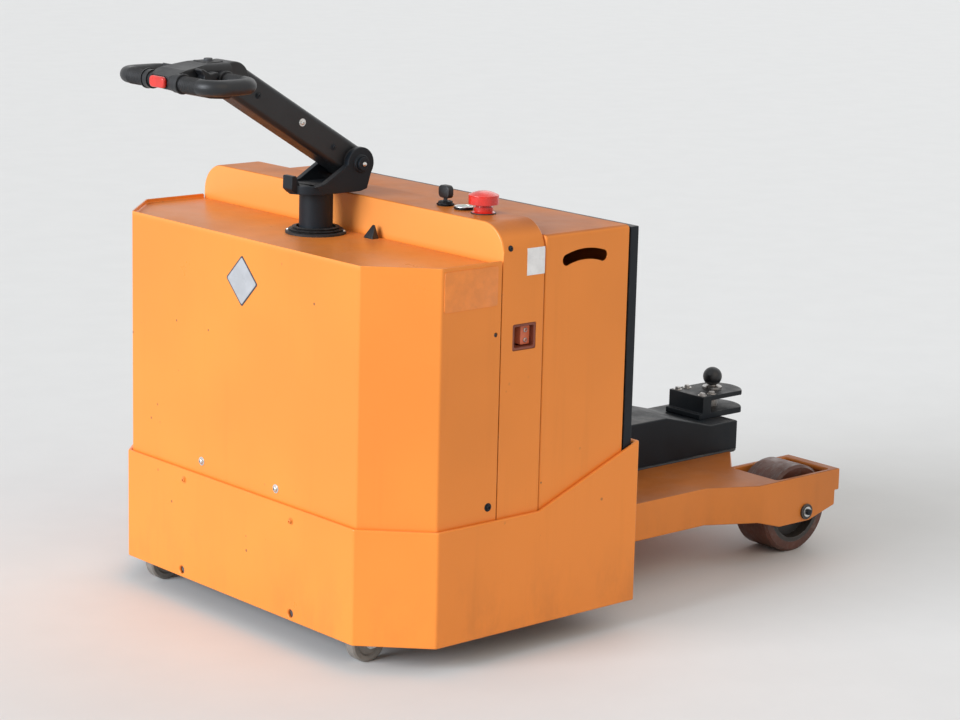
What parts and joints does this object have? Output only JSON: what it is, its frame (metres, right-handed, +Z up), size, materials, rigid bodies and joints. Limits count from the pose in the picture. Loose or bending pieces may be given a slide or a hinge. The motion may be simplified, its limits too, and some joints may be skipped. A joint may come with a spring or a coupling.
{
  "type": "pedestrian electric aircraft towing tractor",
  "caption": "Walk-behind electric tug for light aircraft: boxy chamfered body, tilting tiller, drive wheel under the tiller, low rear wheel frame with a pin hitch.",
  "frame": {"origin": "on the floor, below the middle of the whole length and width", "axes": "+X forward to the tiller's grips, +Y to the machine's left, +Z up"},
  "size_m": [1.4828, 0.9, 1.0378],
  "materials": {
    "orange_paint": "smooth gloss paint with light wear",
    "black_paint": "fine black powder coat",
    "bare_steel": "zinc plated steel",
    "machine_grey": "grey machine paint",
    "drive_rubber": "solid black rubber",
    "wheel_urethane": "red-brown polyurethane",
    "caster_urethane": "grey polyurethane",
    "boot_rubber": "matt rubber",
    "tiller_plastic": "fine grained black plastic",
    "red_plastic": "gloss red plastic",
    "battery_case": "plain dark case"
  },
  "bodies": {
    "chassis": {"chassis_skirt": "orange_paint", "chassis_plate": "black_paint", "wheel_frame": "orange_paint", "rear_bulkhead": "black_paint", "front_cover": "orange_paint", "console_cover": "orange_paint", "battery_cover": "orange_paint", "battery_pack": "battery_case", "drawbar_box": "black_paint", "hitch_jaw": "black_paint", "load_axle_left": "bare_steel", "load_axle_right": "bare_steel", "steering_bearing": "bare_steel", "caster_plate_left": "bare_steel", "caster_plate_right": "bare_steel", "boot_ring": "boot_rubber", "emergency_stop_base": "red_plastic", "emergency_stop_button": "red_plastic", "key_switch": "bare_steel", "battery_gauge": "bare_steel", "charge_socket": "tiller_plastic"},
    "hitch_pin": {"hitch_pin": "bare_steel"},
    "drive_unit": {"drive_head": "machine_grey", "drive_motor": "machine_grey", "tiller_column": "black_paint", "tiller_yoke": "black_paint", "pivot_pin": "bare_steel"},
    "drive_wheel": {"drive_hub": "machine_grey", "drive_tyre": "drive_rubber"},
    "tiller": {"tiller_arm": "tiller_plastic", "tiller_head": "tiller_plastic", "throttle_left": "tiller_plastic", "throttle_right": "tiller_plastic", "belly_switch": "red_plastic"},
    "load_wheel_left": {"load_hub_left": "machine_grey", "load_tyre_left": "wheel_urethane"},
    "caster_left": {"caster_fork_left": "bare_steel"},
    "caster_wheel_left": {"caster_wheel_left": "caster_urethane"},
    "load_wheel_right": {"load_hub_right": "machine_grey", "load_tyre_right": "wheel_urethane"},
    "caster_right": {"caster_fork_right": "bare_steel"},
    "caster_wheel_right": {"caster_wheel_right": "caster_urethane"}
  },
  "joints": [
    {"name": "steering", "type": "hinge", "parent": "chassis", "child": "drive_unit", "pos_m": [0.38958, 0, 0.248], "axis": [0, 0, 1], "range_deg": [-90, 90]},
    {"name": "tiller_tilt", "type": "hinge", "parent": "drive_unit", "child": "tiller", "pos_m": [0.32058, 0, 0.839], "axis": [0, -1, 0], "range_deg": [-22, 56]},
    {"name": "drive_spin", "type": "hinge", "parent": "drive_unit", "child": "drive_wheel", "pos_m": [0.38958, 0, 0.115], "axis": [0, 1, 0], "continuous": true},
    {"name": "hitch_pin_lift", "type": "slide", "parent": "chassis", "child": "hitch_pin", "axis": [0, 0, 1], "range_m": [0, 0.048]},
    {"name": "load_spin_left", "type": "hinge", "parent": "chassis", "child": "load_wheel_left", "pos_m": [-0.62042, 0.2585, 0.09], "axis": [0, 1, 0], "continuous": true},
    {"name": "caster_swivel_left", "type": "hinge", "parent": "chassis", "child": "caster_left", "pos_m": [0.48458, 0.31, 0.114], "axis": [0, 0, 1], "continuous": true},
    {"name": "caster_spin_left", "type": "hinge", "parent": "caster_left", "child": "caster_wheel_left", "pos_m": [0.50958, 0.31, 0.0375], "axis": [0, 1, 0], "continuous": true},
    {"name": "load_spin_right", "type": "hinge", "parent": "chassis", "child": "load_wheel_right", "pos_m": [-0.62042, -0.2585, 0.09], "axis": [0, 1, 0], "continuous": true},
    {"name": "caster_swivel_right", "type": "hinge", "parent": "chassis", "child": "caster_right", "pos_m": [0.48458, -0.31, 0.114], "axis": [0, 0, 1], "continuous": true},
    {"name": "caster_spin_right", "type": "hinge", "parent": "caster_right", "child": "caster_wheel_right", "pos_m": [0.50958, -0.31, 0.0375], "axis": [0, 1, 0], "continuous": true}
  ]
}
